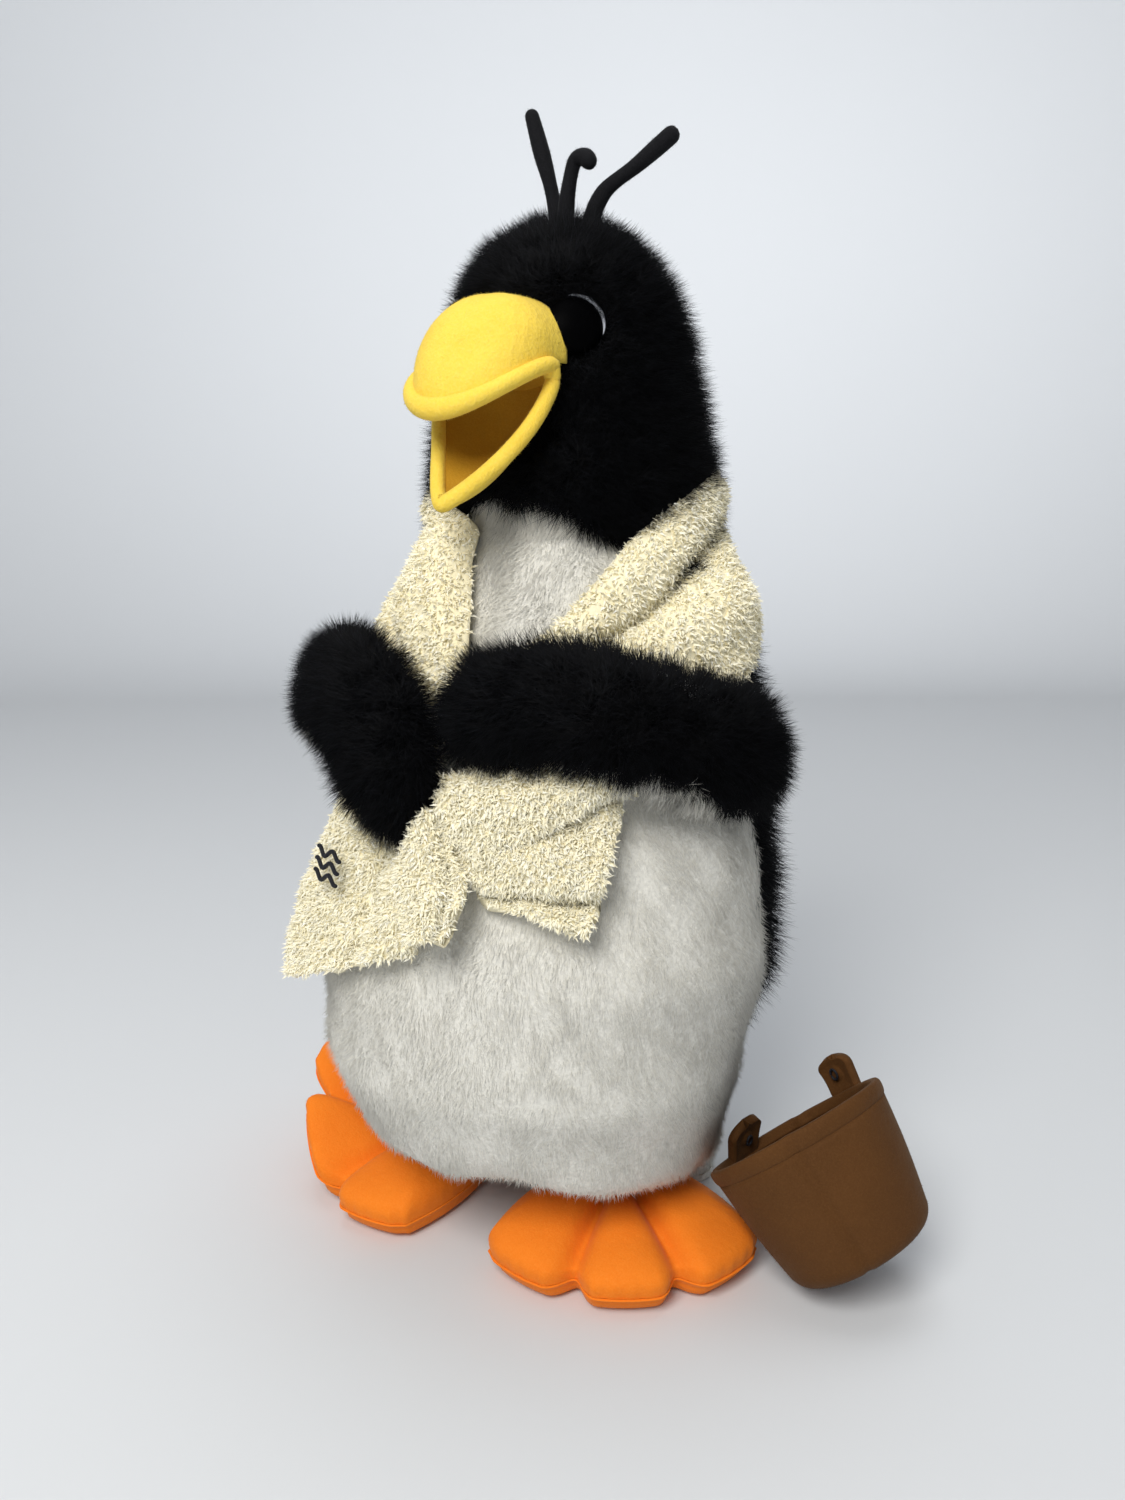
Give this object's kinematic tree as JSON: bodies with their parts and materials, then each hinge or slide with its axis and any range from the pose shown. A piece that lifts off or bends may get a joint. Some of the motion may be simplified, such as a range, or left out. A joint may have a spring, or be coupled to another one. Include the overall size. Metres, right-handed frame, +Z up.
{
  "type": "plush penguin",
  "caption": "Standing plush penguin with folded wings, an open felt beak, a terry towel over its shoulders and a small plush bucket at its hip.",
  "frame": {"origin": "middle of the underside of the base panel, on the surface the toy stands on", "axes": "+Z up, the toy faces -Y, and its own left side is +X"},
  "size_m": [0.2709, 0.2094, 0.439],
  "materials": {
    "black_plush": "long pile",
    "white_plush": "short pile",
    "terry": "terry loops",
    "yellow_fleece": "brushed fleece",
    "mouth_felt": "felt",
    "orange_velour": "velour",
    "brown_velour": "velour",
    "black_plastic": "glossy",
    "white_plastic": "smooth",
    "filling": "polyester fibre",
    "black_felt": "felt",
    "thread": "embroidered"
  },
  "bodies": {
    "toy_body": {"back_panel": "black_plush", "base_panel": "white_plush", "belly_panel": "white_plush", "body_stuffing": "filling", "left_foot_sole": "orange_velour", "left_foot_stuffing": "filling", "left_foot_upper": "orange_velour", "pellet_bag": "filling", "right_foot_sole": "orange_velour", "right_foot_stuffing": "filling", "right_foot_upper": "orange_velour", "seat_panel": "white_plush", "towel_badge": "thread", "towel_knot": "terry", "towel_left_tail": "terry", "towel_right_tail": "terry", "towel_shawl": "terry"},
    "head": {"head_left_panel": "black_plush", "head_right_panel": "black_plush", "head_stuffing": "filling", "left_eye_button": "black_plastic", "left_eye_washer": "white_plastic", "left_eye_white": "white_plastic", "palate_lining": "mouth_felt", "right_eye_button": "black_plastic", "right_eye_washer": "white_plastic", "right_eye_white": "white_plastic", "upper_beak_rim": "yellow_fleece", "upper_beak_skin": "yellow_fleece", "upper_beak_stuffing": "filling"},
    "lower_beak": {"lower_beak_lining": "mouth_felt", "lower_beak_rim": "yellow_fleece", "lower_beak_skin": "yellow_fleece"},
    "left_wing": {"left_wing_outer": "black_plush", "left_wing_stuffing": "filling", "left_wing_underside": "white_plush"},
    "right_wing": {"right_wing_outer": "black_plush", "right_wing_stuffing": "filling", "right_wing_underside": "white_plush"},
    "left_tuft": {"left_crest_tuft": "black_felt"},
    "middle_tuft": {"middle_crest_tuft": "black_felt"},
    "right_tuft": {"right_crest_tuft": "black_felt"},
    "tail": {"tail_top": "black_plush", "tail_underside": "black_plush"},
    "bucket": {"bucket_base": "brown_velour", "bucket_hem": "brown_velour", "bucket_wall": "brown_velour", "far_bucket_lug": "brown_velour", "near_bucket_lug": "brown_velour"}
  },
  "joints": [
    {"name": "neck_turn", "type": "hinge", "parent": "toy_body", "child": "head", "pos_m": [0, -0.03, 0.285], "axis": [0, 0, 1], "range_deg": [-25, 25]},
    {"name": "left_wing_swing", "type": "hinge", "parent": "toy_body", "child": "left_wing", "pos_m": [0.08064, -0.04689, 0.21327], "axis": [0, 0, 1], "range_deg": [0, 50]},
    {"name": "right_wing_swing", "type": "hinge", "parent": "toy_body", "child": "right_wing", "pos_m": [-0.08108, -0.04723, 0.21127], "axis": [0, 0, -1], "range_deg": [0, 50]},
    {"name": "lower_beak_squeeze", "type": "hinge", "parent": "head", "child": "lower_beak", "pos_m": [0, -0.0815, 0.3365], "axis": [1, 0, 0], "range_deg": [-14, 0], "stiffness_Nm_per_rad": 0.02},
    {"name": "left_tuft_bend", "type": "hinge", "parent": "head", "child": "left_tuft", "pos_m": [0.007, -0.031, 0.3974], "axis": [0, -1, 0], "range_deg": [-20, 20], "stiffness_Nm_per_rad": 0.003},
    {"name": "middle_tuft_bend", "type": "hinge", "parent": "head", "child": "middle_tuft", "pos_m": [0, -0.037, 0.3974], "axis": [0, -1, 0], "range_deg": [-8, 8], "stiffness_Nm_per_rad": 0.003},
    {"name": "right_tuft_bend", "type": "hinge", "parent": "head", "child": "right_tuft", "pos_m": [-0.007, -0.032, 0.3974], "axis": [0, -1, 0], "range_deg": [-20, 20], "stiffness_Nm_per_rad": 0.003},
    {"name": "tail_lift", "type": "hinge", "parent": "toy_body", "child": "tail", "pos_m": [0, 0.01706, 0.06204], "axis": [1, 0, 0], "range_deg": [0, 35], "stiffness_Nm_per_rad": 0.01},
    {"name": "bucket_swing", "type": "hinge", "parent": "toy_body", "child": "bucket", "pos_m": [0.0765, -0.037, 0.03741], "axis": [0, -1, 0], "range_deg": [0, 10]}
  ]
}
